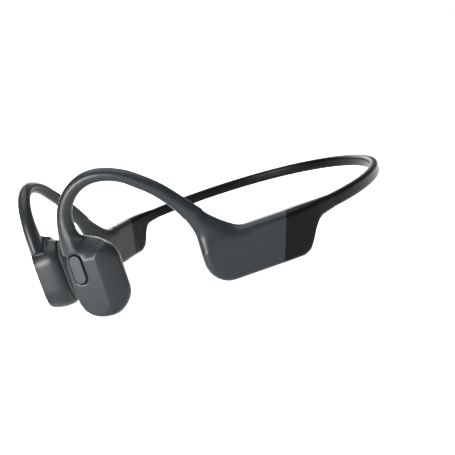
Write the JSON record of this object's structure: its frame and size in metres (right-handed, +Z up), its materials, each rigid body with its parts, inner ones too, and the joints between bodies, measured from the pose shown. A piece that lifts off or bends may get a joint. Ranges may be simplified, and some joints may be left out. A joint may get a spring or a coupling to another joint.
{
  "type": "bone conduction headphones",
  "caption": "Behind-the-neck bone conduction headphones: sprung neckband, soft ear hooks with housings, oval transducer pods that press on the cheekbones.",
  "frame": {"origin": "on the table plane that the housings and pods stand on, below the middle of the outline", "axes": "+X to the wearer's left, -Y to the wearer's front, +Z up"},
  "size_m": [0.1202, 0.1414, 0.047],
  "materials": {
    "black_silicone": "satin silicone",
    "button": "satin silicone",
    "cell_foil": "foil pouch",
    "chip_black": "moulded packages",
    "circuit_board": "solder resist",
    "contact_gold": "gold plated",
    "copper_wire": "enamelled copper winding",
    "crimp_brass": "plain",
    "foam": "soft foam",
    "grey_silicone": "matte silicone",
    "hard_plastic": "moulded",
    "keys": "matte silicone",
    "lead_jacket": "flexible lead jacket",
    "light_guide": "clear light guide",
    "magnet_plating": "nickel plated magnet",
    "memory_alloy": "drawn memory alloy",
    "pad_skin": "matte silicone",
    "pod_skin": "satin silicone",
    "soft_iron": "zinc plated soft iron",
    "spring_steel": "stamped leaf"
  },
  "bodies": {
    "neckband": {"band_lead_back": "lead_jacket", "band_sleeve_back": "black_silicone", "band_strip_back": "memory_alloy"},
    "left_driver": {"left_magnet": "magnet_plating", "left_pole_plate": "soft_iron", "left_yoke": "soft_iron"},
    "left_arm": {"left_arm_skin": "grey_silicone", "left_band_anchor": "crimp_brass", "left_band_lead": "lead_jacket", "left_band_sleeve": "black_silicone", "left_band_strip": "memory_alloy", "left_battery": "cell_foil", "left_battery_board": "circuit_board", "left_battery_foam": "foam", "left_boot": "black_silicone", "left_chassis_lid": "hard_plastic", "left_chassis_tray": "hard_plastic", "left_coil_carrier": "hard_plastic", "left_face_board": "circuit_board", "left_face_switch": "chip_black", "left_hook_anchor": "crimp_brass", "left_hook_lead": "lead_jacket", "left_hook_wire": "memory_alloy", "left_microphone": "chip_black", "left_pod_cup": "hard_plastic", "left_pod_pad": "pad_skin", "left_pod_shell": "pod_skin", "left_suspension": "spring_steel", "left_voice_coil": "copper_wire"},
    "right_driver": {"right_magnet": "magnet_plating", "right_pole_plate": "soft_iron", "right_yoke": "soft_iron"},
    "right_arm": {"right_arm_skin": "grey_silicone", "right_band_anchor": "crimp_brass", "right_band_lead": "lead_jacket", "right_band_sleeve": "black_silicone", "right_band_strip": "memory_alloy", "right_boot": "black_silicone", "right_chassis_lid": "hard_plastic", "right_chassis_tray": "hard_plastic", "right_chips": "chip_black", "right_coil_carrier": "hard_plastic", "right_contacts": "contact_gold", "right_hook_anchor": "crimp_brass", "right_hook_lead": "lead_jacket", "right_hook_wire": "memory_alloy", "right_lamp": "light_guide", "right_main_board": "circuit_board", "right_pod_cup": "hard_plastic", "right_pod_pad": "pad_skin", "right_pod_shell": "pod_skin", "right_suspension": "spring_steel", "right_voice_coil": "copper_wire", "right_volume_switches": "chip_black"},
    "face_button": {"left_face_button": "button"},
    "volume_up": {"right_volume_up": "keys"},
    "volume_down": {"right_volume_down": "keys"}
  },
  "joints": [
    {"name": "left_band_flex", "type": "hinge", "parent": "neckband", "child": "left_arm", "pos_m": [0.022, 0.06442, 0.01351], "axis": [0, -0.008, 1], "range_deg": [-2.5, 22], "stiffness_Nm_per_rad": 0.4},
    {"name": "left_driver_travel", "type": "slide", "parent": "left_arm", "child": "left_driver", "axis": [0.5736, -0.8192, 0], "range_m": [-0.0001, 0.0001], "stiffness_N_per_m": 300},
    {"name": "right_band_flex", "type": "hinge", "parent": "neckband", "child": "right_arm", "pos_m": [-0.022, 0.06442, 0.01351], "axis": [0, 0.008, -1], "range_deg": [-2.5, 22], "stiffness_Nm_per_rad": 0.4},
    {"name": "right_driver_travel", "type": "slide", "parent": "right_arm", "child": "right_driver", "axis": [-0.5736, -0.8192, 0], "range_m": [-0.0001, 0.0001], "stiffness_N_per_m": 300},
    {"name": "face_button_press", "type": "slide", "parent": "left_arm", "child": "face_button", "axis": [-0.5736, 0.8192, 0], "range_m": [0, 0.00025], "stiffness_N_per_m": 500},
    {"name": "volume_up_press", "type": "slide", "parent": "right_arm", "child": "volume_up", "axis": [0, 0, 1], "range_m": [0, 0.0002], "stiffness_N_per_m": 500},
    {"name": "volume_down_press", "type": "slide", "parent": "right_arm", "child": "volume_down", "axis": [0, 0, 1], "range_m": [0, 0.0002], "stiffness_N_per_m": 500}
  ]
}
